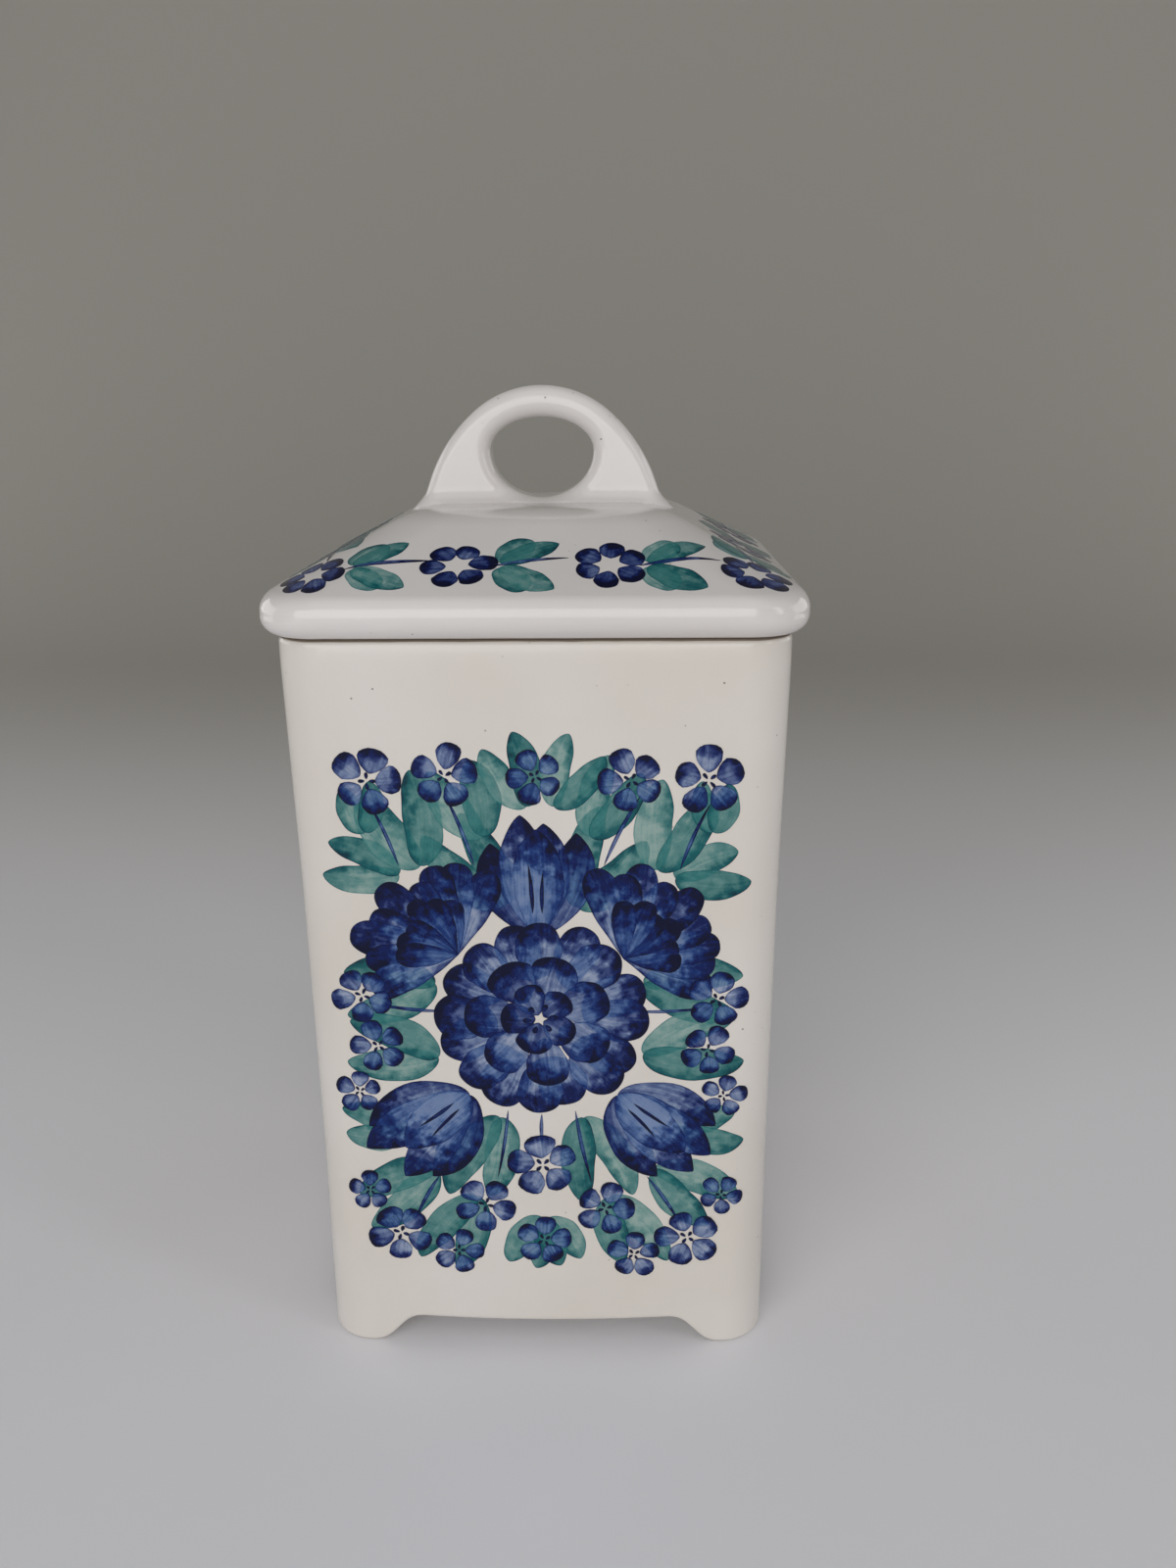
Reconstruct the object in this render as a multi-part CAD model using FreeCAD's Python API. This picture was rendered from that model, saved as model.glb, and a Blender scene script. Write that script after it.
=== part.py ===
import FreeCAD, Part

import math
import os

from FreeCAD import Vector

# A square glazed earthenware biscuit jar: a tall slip-cast body on four bracket feet,
# and a lift-off lid with a locating flange below and a loop handle luted on top.
# The jar stands on z = 0, its axis is Z, and its front faces -Y. Sizes are millimetres.

# Jar body: an upright skirt, two stages that flare outward, and an upright band at the rim
rim_height = 179.4
rim_width = 112.5
rim_band = 6.5
middle_height = 120.0
middle_draw_in = 1.1
skirt_height = 50.0
skirt_draw_in = 1.8
rim_corner_radius = 10.5
foot_corner_radius = 10.5
wall = 5.0
rim_rounding = 1.8
floor_thickness = 6.2
floor_fillet = 3.8
least_inner_radius = 1.5

# Bracket feet, left standing where an ogee arch is cut through the skirt both ways
arch_height = 7.2
apron_drop = 2.1
foot_reach = 14.0
ogee_run = 7.0
ogee_radius = 6.0
apron_bow_share = 0.85
skirt_edge_rounding = 1.5

# Lid shell
lid_overhang = 3.6
lid_corner_radius = 14.0
lid_edge_height = 8.2
lid_lower_rounding = 4.6
lid_shoulder_rounding = 5.0
plateau_inset = 31.5
plateau_height = 24.3
plateau_corner_radius = 12.0
plateau_rounding = 28.0
lid_wall = 5.0

# Locating flange under the lid, which hangs inside the jar's mouth
flange_clearance = 1.5
flange_depth = 12.0
flange_wall = 4.0
flange_tip_rounding = 1.5
flange_root_fillet = 1.0

# Loop handle
handle_rise = 51.5
crown_radius = 25.0
crown_turn = 40.0
flank_radius = 38.0
leg_lean = 20.0
handle_thickness = 12.0
handle_edge_rounding = 3.4
hole_width = 24.9
hole_height = 18.8
hole_belly_height = 10.9
hole_side_radius = 6.5
web_height = 1.0
luting_fillet = 1.2

# No rounding takes more than this share of the wall or bar that carries it
rounding_share = 0.46

# Widths that follow from the sizes above
skirt_width = rim_width - 2 * skirt_draw_in
middle_width = rim_width - 2 * middle_draw_in
lid_width = rim_width + 2 * lid_overhang
plateau_width = lid_width - 2 * plateau_inset
flange_width = rim_width - 2 * wall - 2 * flange_clearance

out_folder = "parts"
touch = 0.001


def square_corners(width, radius, z):
    """For each corner, the start, middle and end of its quarter arc, anticlockwise from +X +Y."""
    flat = width / 2 - radius
    diagonal = flat + radius * math.sqrt(0.5)
    corner = [Vector(width / 2, flat, z), Vector(diagonal, diagonal, z), Vector(flat, width / 2, z)]
    turns = [FreeCAD.Rotation(Vector(0, 0, 1), 90 * quarter) for quarter in range(4)]
    return [[turn.multVec(point) for point in corner] for turn in turns]


def rounded_square(width, radius, z):
    """Face with four sides and four quarter arcs, centred on the Z axis."""
    corners = square_corners(width, radius, z)
    edges = []
    for corner, following in zip(corners, corners[1:] + corners[:1]):
        edges.append(Part.Arc(*corner).toShape())
        edges.append(Part.LineSegment(corner[2], following[0]).toShape())
    return Part.Face(Part.Wire(edges))


def block(width, radius, low, high):
    """Upright solid with a rounded-square plan."""
    return rounded_square(width, radius, low).extrude(Vector(0, 0, high - low))


def stage(lower, upper):
    """Solid between two (width, radius, z) squares, with flat sides and ruled corners."""
    if lower[:2] == upper[:2]:
        return block(*lower, upper[2])
    faces = [rounded_square(*lower), rounded_square(*upper)]
    below = square_corners(*lower)
    above = square_corners(*upper)
    for k in range(4):
        arcs = [Part.Arc(*corners[k]).toShape() for corners in (below, above)]
        faces.append(Part.makeRuledSurface(*arcs))
        side = [below[k][2], below[(k + 1) % 4][0], above[(k + 1) % 4][0], above[k][2]]
        faces.append(Part.Face(Part.makePolygon(side + side[:1])))
    shell = Part.makeShell(faces)
    shell.sewShape()
    solid = Part.makeSolid(shell)
    return solid if solid.Volume > 0 else solid.reversed()


def stacked(levels):
    """One solid that passes through a row of (width, radius, z) squares, lowest first."""
    stages = [stage(lower, upper) for lower, upper in zip(levels, levels[1:])]
    return stages[0].multiFuse(stages[1:]).removeSplitter()


def along(edge):
    """Five points spread over an edge."""
    first, last = edge.ParameterRange
    return [edge.valueAt(first + (last - first) * k / 4) for k in range(5)]


def edges_at(shape, z):
    """Edges that lie wholly at the level z."""
    return [e for e in shape.Edges if all(abs(p.z - z) < touch for p in along(e))]


def lies_on(edge, skin):
    """True where every sampled point of the edge is on the surface of skin."""
    return all(Part.Vertex(p).distToShape(skin)[0] < touch for p in along(edge))


def straight(start, end):
    """A one-edge list, or an empty one where the two points meet."""
    return [] if (end - start).Length < touch else [Part.LineSegment(start, end).toShape()]


def rounded_path(corners):
    """Edges of an open path in the XZ plane, from (x, z, radius) corners with tangent arcs."""
    points = [Vector(x, 0, z) for x, z, _ in corners]
    start = points[0]
    edges = []
    for before, corner, after, (_, _, radius) in zip(points, points[1:], points[2:], corners[1:]):
        back = (before - corner).normalize()
        ahead = (after - corner).normalize()
        half_angle = back.getAngle(ahead) / 2
        reach = radius / math.tan(half_angle)
        middle = (back + ahead).normalize() * (radius / math.sin(half_angle) - radius)
        arc_start = corner + back * reach
        arc_end = corner + ahead * reach
        edges += straight(start, arc_start)
        edges.append(Part.Arc(arc_start, corner + middle, arc_end).toShape())
        start = arc_end
    return edges + straight(start, points[-1])


def bar_through(edges, thickness):
    """Bar along Y, centred on y = 0, whose section is the closed outline in the XZ plane."""
    face = Part.Face(Part.Wire(Part.sortEdges(edges)[0]))
    bar = face.extrude(Vector(0, thickness, 0))
    bar.translate(Vector(0, -thickness / 2, 0))
    return bar


def body_form(inset):
    """The body's square form, upright at the skirt and the rim and flaring between them."""
    middle_radius = (rim_corner_radius + foot_corner_radius) / 2
    levels = [
        (skirt_width, foot_corner_radius, 0),
        (skirt_width, foot_corner_radius, skirt_height),
        (middle_width, middle_radius, middle_height),
        (rim_width, rim_corner_radius, rim_height - rim_band),
        (rim_width, rim_corner_radius, rim_height),
    ]
    return stacked([
        (width - 2 * inset, max(radius - inset, least_inner_radius), z)
        for width, radius, z in levels
    ])


def arch_cutter():
    """Opening under the skirt between two feet, with an ogee at each end and a bowed apron."""
    foot_inside = skirt_width / 2 - foot_reach
    arch_end = foot_inside - ogee_run
    ogee_slope = math.atan2(arch_height, ogee_run)
    foot_flat = foot_inside + ogee_radius * math.tan(ogee_slope / 2)
    apron_slope = math.atan2(apron_drop, arch_end)
    bow_radius = apron_bow_share * arch_end / math.tan(apron_slope)
    underside = rounded_path([
        (-foot_flat, 0, 0),
        (-foot_inside, 0, ogee_radius),
        (-arch_end, arch_height, ogee_radius),
        (0, arch_height - apron_drop, bow_radius),
        (arch_end, arch_height, ogee_radius),
        (foot_inside, 0, ogee_radius),
        (foot_flat, 0, 0),
    ])
    below = -arch_height
    corners = [
        Vector(foot_flat, 0, 0),
        Vector(foot_flat, 0, below),
        Vector(-foot_flat, 0, below),
        Vector(-foot_flat, 0, 0),
    ]
    closing = [Part.LineSegment(a, b).toShape() for a, b in zip(corners, corners[1:])]
    return bar_through(underside + closing, 2 * rim_width)


def make_jar_body():
    outside = body_form(0)
    arch = arch_cutter()
    across = arch.copy()
    across.rotate(Vector(0, 0, 0), Vector(0, 0, 1), 90)
    shell = outside.cut(arch.fuse(across))
    skirt_top = arch_height + skirt_edge_rounding
    skirt_edge = [
        e
        for e in shell.Edges
        if max(p.z for p in along(e)) < skirt_top and lies_on(e, outside.Shells[0])
    ]
    shell = shell.makeFillet(skirt_edge_rounding, skirt_edge)

    floor = arch_height + floor_thickness
    below_floor = block(2 * rim_width, rim_corner_radius, -floor, floor)
    inside = body_form(wall).cut(below_floor)
    inside = inside.makeFillet(floor_fillet, edges_at(inside, floor))
    shell = shell.cut(inside)
    return shell.makeFillet(min(rim_rounding, rounding_share * wall), edges_at(shell, rim_height))


def lid_slope():
    """Angle of the lid's sloping sides above the horizontal, in radians."""
    return math.atan2(plateau_height - lid_edge_height, plateau_inset)


def lid_outside():
    """Outer form of the lid without its flange: rolled edge, four slopes and a small plateau."""
    shoulder = rim_height + lid_edge_height
    plateau = rim_height + plateau_height
    form = stacked([
        (lid_width, lid_corner_radius, rim_height),
        (lid_width, lid_corner_radius, shoulder),
        (plateau_width, plateau_corner_radius, plateau),
    ])
    form = form.makeFillet(lid_shoulder_rounding, edges_at(form, shoulder))
    form = form.makeFillet(lid_lower_rounding, edges_at(form, rim_height))
    return form.makeFillet(plateau_rounding, edges_at(form, plateau))


def flange_radius(inset):
    """Corner radius of the flange, which clears the jar's mouth evenly, or of a face inside it."""
    return max(rim_corner_radius - wall - flange_clearance - inset, least_inner_radius)


def lid_hollow():
    """Space inside the lid and its flange, one wall below the outer slopes."""
    width = flange_width - 2 * flange_wall
    radius = flange_radius(flange_wall)
    slope = lid_slope()
    wall_upright = lid_wall / math.cos(slope)
    inward = (lid_width - width) / 2
    spring = rim_height + lid_edge_height + inward * math.tan(slope) - wall_upright
    ceiling = rim_height + plateau_height - lid_wall
    ceiling_width = width - 2 * (ceiling - spring) / math.tan(slope)
    return stacked([
        (width, radius, rim_height - flange_depth),
        (width, radius, spring),
        (ceiling_width, plateau_corner_radius, ceiling),
    ])


def make_lid(outside):
    flange = block(flange_width, flange_radius(0), rim_height - flange_depth, rim_height)
    shell = outside.fuse(flange)
    root = [e for e in edges_at(shell, rim_height) if lies_on(e, flange.Shells[0])]
    shell = shell.makeFillet(flange_root_fillet, root)
    shell = shell.cut(lid_hollow())
    tip = edges_at(shell, rim_height - flange_depth)
    return shell.makeFillet(min(flange_tip_rounding, rounding_share * flange_wall), tip)


def hole_outline(hole_top):
    """Oval of four tangent arcs: two tight sides, a flatter top and a deeper bottom."""
    belly = hole_top - hole_height + hole_belly_height
    side_x = hole_width / 2 - hole_side_radius
    seats = []
    arcs = []
    for height, way in ((hole_top - belly, 1), (hole_belly_height, -1)):
        radius = (side_x**2 + height**2 - hole_side_radius**2) / (2 * (height - hole_side_radius))
        centre = Vector(0, 0, belly + way * (height - radius))
        left, right = (
            centre + (Vector(x, 0, belly) - centre).normalize() * radius for x in (-side_x, side_x)
        )
        arcs.append(Part.Arc(left, Vector(0, 0, belly + way * height), right).toShape())
        seats.append((left, right))
    (top_left, top_right), (low_left, low_right) = seats
    side_left = Vector(-hole_width / 2, 0, belly)
    side_right = Vector(hole_width / 2, 0, belly)
    arcs.append(Part.Arc(top_left, side_left, low_left).toShape())
    arcs.append(Part.Arc(top_right, side_right, low_right).toShape())
    return arcs


def handle_plate():
    """The loop as a plate: a round crown, flatter flanks and leaning legs, with an oval hole."""
    top = rim_height + handle_rise
    foot = rim_height + lid_edge_height
    flank_turn = math.radians(90 - leg_lean)
    turn = math.radians(crown_turn)
    crown_centre = Vector(0, 0, top - crown_radius)
    inward = crown_radius - flank_radius
    flank_centre = crown_centre + Vector(inward * math.sin(turn), 0, inward * math.cos(turn))

    def spoke(centre, radius, angle):
        return centre + Vector(radius * math.sin(angle), 0, radius * math.cos(angle))

    crown_end = spoke(crown_centre, crown_radius, turn)
    flank_middle = spoke(flank_centre, flank_radius, (turn + flank_turn) / 2)
    flank_end = spoke(flank_centre, flank_radius, flank_turn)
    foot_x = flank_end.x + (flank_end.z - foot) * math.tan(math.radians(leg_lean))
    foot_end = Vector(foot_x, 0, foot)
    right = [crown_end, flank_middle, flank_end, foot_end]
    left = [Vector(-point.x, 0, point.z) for point in right]
    outline = [Part.Arc(left[0], Vector(0, 0, top), right[0]).toShape()]
    for start, middle, end, below in (right, left):
        outline.append(Part.Arc(start, middle, end).toShape())
        outline.append(Part.LineSegment(end, below).toShape())
    outline.append(Part.LineSegment(right[3], left[3]).toShape())
    plate = bar_through(outline, handle_thickness)
    hole_top = rim_height + plateau_height + web_height + hole_height
    plate = plate.cut(bar_through(hole_outline(hole_top), 2 * handle_thickness))
    half = handle_thickness / 2
    rims = [
        e
        for e in plate.Edges
        if all(abs(abs(p.y) - half) < touch for p in along(e))
        and max(p.z for p in along(e)) > foot + touch
    ]
    least_bar = min(top - hole_top, handle_thickness)
    return plate.makeFillet(min(handle_edge_rounding, rounding_share * least_bar), rims)


def make_handle(lid_form):
    """The rounded loop, its slip fillet to the lid, and a base that fits the lid's slopes."""
    plate = handle_plate()
    luted = plate.fuse(lid_form)
    seam = [
        e
        for e in luted.Edges
        if lies_on(e, lid_form.Shells[0]) and lies_on(e, plate.Shells[0])
    ]
    return luted.makeFillet(luting_fillet, seam).cut(lid_form)


os.makedirs(out_folder, exist_ok=True)
dome = lid_outside()
pieces = {
    "jar_body": make_jar_body(),
    "lid": make_lid(dome),
    "lid_handle": make_handle(dome),
}
for name, shape in pieces.items():
    shape.exportStep(f"{out_folder}/{name}.step")
    print(name, "valid" if shape.isValid() else "not valid", round(shape.Volume), "mm3")
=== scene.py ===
import math

import bpy
import numpy as np
from mathutils import Matrix, Vector


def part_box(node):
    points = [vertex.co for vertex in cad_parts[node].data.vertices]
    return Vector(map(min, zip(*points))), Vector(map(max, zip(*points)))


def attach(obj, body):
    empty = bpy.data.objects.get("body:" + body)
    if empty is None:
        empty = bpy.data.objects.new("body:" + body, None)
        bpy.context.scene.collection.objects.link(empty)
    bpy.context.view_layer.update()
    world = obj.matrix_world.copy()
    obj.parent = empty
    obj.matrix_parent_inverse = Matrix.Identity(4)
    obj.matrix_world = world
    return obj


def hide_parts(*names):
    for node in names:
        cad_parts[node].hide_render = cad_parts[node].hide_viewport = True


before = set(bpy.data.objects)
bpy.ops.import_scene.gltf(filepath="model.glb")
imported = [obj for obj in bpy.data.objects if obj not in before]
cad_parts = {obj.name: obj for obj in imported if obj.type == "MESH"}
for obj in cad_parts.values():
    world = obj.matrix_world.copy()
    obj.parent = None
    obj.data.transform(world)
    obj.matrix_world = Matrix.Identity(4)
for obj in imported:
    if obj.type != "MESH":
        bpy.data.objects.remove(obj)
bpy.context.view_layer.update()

# A square glazed earthenware biscuit jar with a lift-off lid and a painted posy on its front.
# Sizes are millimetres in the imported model's frame, and every mesh is written in metres.
mm = 0.001

# Jar body: a tall box slip-cast in white earthenware, upright at the skirt and at the rim and
# flaring a little between them. Ogee arches cut under the skirt leave four bracket feet, and
# a clear cream glaze runs over everything, inside as well.
body_low, body_high = (np.array(corner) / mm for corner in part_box("jar_body"))
rim_half = (body_high[0] - body_low[0]) / 2
rim_height = body_high[2]
rim_band = 6.5
rim_rounding = 1.8
middle_height = 120.0
middle_draw_in = 1.1
middle_half = rim_half - middle_draw_in
skirt_height = 50.0
skirt_draw_in = 1.8
skirt_half = rim_half - skirt_draw_in
plan_corner = 10.5
wall = 5.0
arch_height = 7.2
apron_drop = 2.1
apron_bow_share = 0.85
foot_reach = 14.0
ogee_run = 7.0
ogee_radius = 6.0
skirt_edge = 1.5
skirt_blend = 12.0
inner_floor = 13.4
floor_fillet = 3.8


def profile(corners, step, arc_steps=7):
    """Open path through (out, up, rounding, corner radius) rows, with arcs at the rounded ones.

    An arc touches both legs: its centre lies on the bisector at rounding / sin(half angle).
    Straight legs are divided so that no part is longer than step.
    """
    points = np.array([corner[:2] for corner in corners], float)
    ring = np.array([corner[3] for corner in corners], float)
    rows = [np.append(points[0], ring[0])]

    def leg_to(target):
        parts = max(1, math.ceil(np.linalg.norm(target[:2] - rows[-1][:2]) / step))
        start = rows[-1]
        rows.extend(start + (target - start) * k / parts for k in range(1, parts + 1))

    for k in range(1, len(points) - 1):
        here = np.append(points[k], ring[k])
        rounding = corners[k][2]
        if not rounding:
            leg_to(here)
            continue
        back, ahead = points[k - 1] - points[k], points[k + 1] - points[k]
        back_length, ahead_length = np.linalg.norm(back), np.linalg.norm(ahead)
        back, ahead = back / back_length, ahead / ahead_length
        half_angle = math.acos(np.clip(back @ ahead, -1, 1)) / 2
        reach = rounding / math.tan(half_angle)
        bisector = (back + ahead) / np.linalg.norm(back + ahead)
        centre = points[k] + bisector * rounding / math.sin(half_angle)
        ring_in = ring[k] + (ring[k - 1] - ring[k]) * reach / back_length
        ring_out = ring[k] + (ring[k + 1] - ring[k]) * reach / ahead_length
        first, last = points[k] + back * reach - centre, points[k] + ahead * reach - centre
        leg_to(np.append(centre + first, ring_in))
        turn = math.pi - 2 * half_angle
        for share in np.linspace(0, 1, arc_steps)[1:]:
            spoke = math.sin((1 - share) * turn) * first + math.sin(share * turn) * last
            spoke = spoke / math.sin(turn)
            rows.append(np.append(centre + spoke, ring_in + (ring_out - ring_in) * share))
    leg_to(np.append(points[-1], ring[-1]))
    return np.array(rows)


def square_columns(flat_steps, corner_steps):
    """Columns round a square: the side, the share of its half flat from -1 to 1, and the angle
    round the corner that ends the side."""
    flat = np.linspace(-1, 1, flat_steps, endpoint=False)
    flat = np.append(flat, np.ones(corner_steps))
    bend = np.linspace(0, math.pi / 2, corner_steps, endpoint=False)
    bend = np.append(np.zeros(flat_steps), bend)
    side = np.repeat(np.arange(4), flat_steps + corner_steps)
    return side, np.tile(flat, 4), np.tile(bend, 4)


def square_rings(rows, columns):
    """Grid of rounded squares, one for each (half width, height, corner radius) row.

    On the front a point is the corner's centre plus the radius turned by the bend, and the
    other sides are the front turned by a quarter each."""
    side, flat, bend = columns
    half, height = rows[:, :1], rows[:, 1:2]
    radius = np.minimum(rows[:, 2:], half)
    out = half - radius + radius * np.cos(bend)
    along = flat * (half - radius) + radius * np.sin(bend)
    turn = side * math.pi / 2
    x = along * np.cos(turn) + out * np.sin(turn)
    y = along * np.sin(turn) - out * np.cos(turn)
    return np.stack([x, y, height + 0 * x], axis=-1)


def skin_faces(rows, columns, looped):
    """Quads between neighbouring grid points, with columns that meet round the back and, where
    looped, rows that do too."""
    across = np.arange(columns)
    beside = (across + 1) % columns
    lower = np.arange(rows if looped else rows - 1)[:, None]
    upper = (lower + 1) % rows
    corners = (lower, across), (lower, beside), (upper, beside), (upper, across)
    return np.stack([row * columns + column for row, column in corners], axis=-1).reshape(-1, 4)


def new_piece(name, points, faces, sharp_angle=180.0):
    """Object at the origin whose mesh holds the points, in millimetres, and the faces."""
    mesh = bpy.data.meshes.new(name)
    mesh.from_pydata(points.reshape(-1, 3) * mm, [], faces)
    mesh.shade_smooth()
    mesh.set_sharp_from_angle(angle=math.radians(sharp_angle))
    piece = bpy.data.objects.new(name, mesh)
    bpy.context.scene.collection.objects.link(piece)
    return piece


def pole_skins(name, grids, traits=None, sharp_angle=180.0):
    """One piece of closed skins, one for each grid of rows by columns, whose first and last rows
    are each drawn in to the point of their first column. A trait is a number or a vector for
    each grid point, kept on the mesh for the material."""
    count, rows, columns = grids.shape[:3]
    size = (rows - 2) * columns + 2
    across = np.arange(columns)
    beside = (across + 1) % columns
    top_row = (rows - 3) * columns
    quads = skin_faces(rows - 2, columns, False)
    start_fan = np.stack([beside, across, 0 * across + size - 2], axis=-1)
    end_fan = np.stack([top_row + across, top_row + beside, 0 * across + size - 1], axis=-1)
    faces = [
        face
        for k in range(count)
        for group in (quads, start_fan, end_fan)
        for face in (group + k * size).tolist()
    ]

    def drawn_in(values):
        inner = values[:, 1:-1].reshape(count, size - 2, -1)
        return np.concatenate([inner, values[:, 0, :1], values[:, -1, :1]], axis=1)

    piece = new_piece(name, drawn_in(grids), faces, sharp_angle)
    for trait, values in (traits or {}).items():
        vector = values.ndim == 4
        kept = piece.data.attributes.new(trait, "FLOAT_VECTOR" if vector else "FLOAT", "POINT")
        values = values if vector else values[..., None]
        numbers = drawn_in(values).astype(np.float32).ravel()
        kept.data.foreach_set("vector" if vector else "value", numbers)
    return piece


def arch_rise(across):
    """Height of the skirt's underside at a distance from the middle of a side. Its line runs on
    a little past the start of the foot's flat sole."""
    foot_inside = skirt_half - foot_reach
    arch_end = foot_inside - ogee_run
    sole_start = foot_inside + ogee_radius * math.tan(math.atan2(arch_height, ogee_run) / 2)
    bow = apron_bow_share * arch_end / math.tan(math.atan2(apron_drop, arch_end))
    line = profile([
        (-foot_inside, 0, 0, 0),
        (-arch_end, arch_height, ogee_radius, 0),
        (0, arch_height - apron_drop, bow, 0),
        (arch_end, arch_height, ogee_radius, 0),
        (foot_inside, 0, ogee_radius, 0),
        (sole_start + 1, 0, 0, 0),
    ], step=1.0)
    return np.interp(np.abs(across), line[:, 0], line[:, 1])


sole = profile([
    (0, 0, 0, 0),
    (skirt_half, 0, skirt_edge, plan_corner),
    (skirt_half, skirt_blend, 0, plan_corner),
], step=1.6)
sides = profile([
    (skirt_half, skirt_blend, 0, plan_corner),
    (skirt_half, skirt_height, 0, plan_corner),
    (middle_half, middle_height, 0, plan_corner),
    (rim_half, rim_height - rim_band, 0, plan_corner),
    (rim_half, rim_height, rim_rounding, plan_corner),
    (rim_half - wall, rim_height, rim_rounding, plan_corner - wall),
    (rim_half - wall, rim_height - rim_band, 0, plan_corner - wall),
    (middle_half - wall, middle_height, 0, plan_corner - wall),
    (skirt_half - wall, skirt_height, 0, plan_corner - wall),
    (skirt_half - wall, inner_floor, floor_fillet, plan_corner - wall),
    (0, inner_floor, 0, 0),
], step=9.0)
body_columns = square_columns(flat_steps=84, corner_steps=18)
body_grid = square_rings(np.concatenate([sole, sides[1:]]), body_columns)
arch_share = np.clip((skirt_blend - body_grid[..., 2]) / (skirt_blend - skirt_edge), 0, 1)
arch = np.maximum(arch_rise(body_grid[..., 0]), arch_rise(body_grid[..., 1]))
body_grid[..., 2] += arch_share * arch
jar = pole_skins("jar_wall", body_grid[None])
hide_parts("jar_body")
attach(jar, "jar")


# Glaze: the depth of its waves, the bare clay's soft edge and its unevenness are in metres, and
# the scales are features per metre.
tone_scale = 18.0
swell_scale = 26.0
gloss_scale = 60.0
clay_scale = 90.0
ripple_scale = 140.0
wave_depth = 0.35 * mm
clay_wipe = 0.2 * mm
clay_unevenness = 0.5 * mm
# Bare clay of the bearing faces, painted dark as the shade in the joint between lid and jar.
clay_and_joint_shade_tone = (138, 126, 112)
speck_tone = (96, 84, 72)


class Shade:
    """One output of a material's nodes. Arithmetic on it, or on a plain number, adds Math nodes."""

    def __init__(self, tree, socket=None):
        self.tree = tree
        self.socket = socket

    def node(self, kind, settings=None, values=None, out=0):
        """Adds a node: its settings first, then the values or links of its sockets."""
        made = self.tree.nodes.new(kind)
        for name, value in (settings or {}).items():
            if name == "stops":
                ramp = made.color_ramp
                while len(ramp.elements) < len(value):
                    ramp.elements.new(1.0)
                for element, (position, colour) in zip(ramp.elements, value):
                    element.position = position
                    element.color = (*colour, 1.0)
            else:
                setattr(made, name, value)
        for name, value in (values or {}).items():
            if isinstance(value, Shade):
                self.tree.links.new(value.socket, made.inputs[name])
            else:
                made.inputs[name].default_value = value
        return Shade(self.tree, made.outputs[out] if made.outputs else None)

    def math(self, operation, *values):
        return self.node("ShaderNodeMath", {"operation": operation}, dict(enumerate(values)))

    def __add__(self, other):
        return self.math("ADD", self, other)

    def __sub__(self, other):
        return self.math("SUBTRACT", self, other)

    def __rsub__(self, other):
        return self.math("SUBTRACT", other, self)

    def __mul__(self, other):
        return self.math("MULTIPLY", self, other)

    __radd__ = __add__
    __rmul__ = __mul__

    def between(self, low, high):
        """Rises smoothly from 0 at low to 1 at high, or falls where low is the greater."""
        down = low > high
        limits = (high, low) if down else (low, high)
        made = self.node(
            "ShaderNodeMapRange",
            {"interpolation_type": "SMOOTHSTEP"},
            {"Value": self, "From Min": limits[0], "From Max": limits[1]},
        )
        return 1 - made if down else made

    def mix(self, first, second):
        """Two colours blended by this factor."""
        sockets = {0: self, 6: first, 7: second}
        return self.node("ShaderNodeMix", {"data_type": "RGBA"}, sockets, out=2)

    def bumped(self):
        """Normal raised by this height, which is given in wave depths."""
        values = {"Strength": 1.0, "Distance": wave_depth, "Height": self}
        return self.node("ShaderNodeBump", {}, values)

    def noise(self, where, scale, detail=2.0, roughness=0.5, stretch=(1.0, 1.0, 1.0)):
        """Soft noise at a scale in features per unit of the coordinate."""
        placed = self.node("ShaderNodeMapping", {}, {"Vector": where, "Scale": stretch})
        values = {"Vector": placed, "Scale": scale, "Detail": detail, "Roughness": roughness}
        return self.node("ShaderNodeTexNoise", {}, values)


def colour(red, green, blue):
    """A colour as the eye reads it, 0 to 255 a channel, turned to the linear RGBA of a socket."""
    channels = np.array([red, green, blue]) / 255
    linear = np.where(channels <= 0.04045, channels / 12.92, ((channels + 0.055) / 1.055) ** 2.4)
    return (*linear.tolist(), 1.0)


def new_material(name):
    """An empty node material and the Shade that adds its nodes."""
    material = bpy.data.materials.new(name)
    material.use_nodes = True
    material.node_tree.nodes.clear()
    return material, Shade(material.node_tree)


def waviness(start, place):
    """Height of a dipped glaze's surface: long shallow swells with a little finer ripple."""
    swell = start.noise(place, swell_scale, detail=1.0)
    return swell * 0.9 + start.noise(place, ripple_scale) * 0.06


def gloss(start, place):
    """Roughness of a fired glaze, a little uneven."""
    return start.noise(place, gloss_scale) * 0.08 + 0.06


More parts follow.
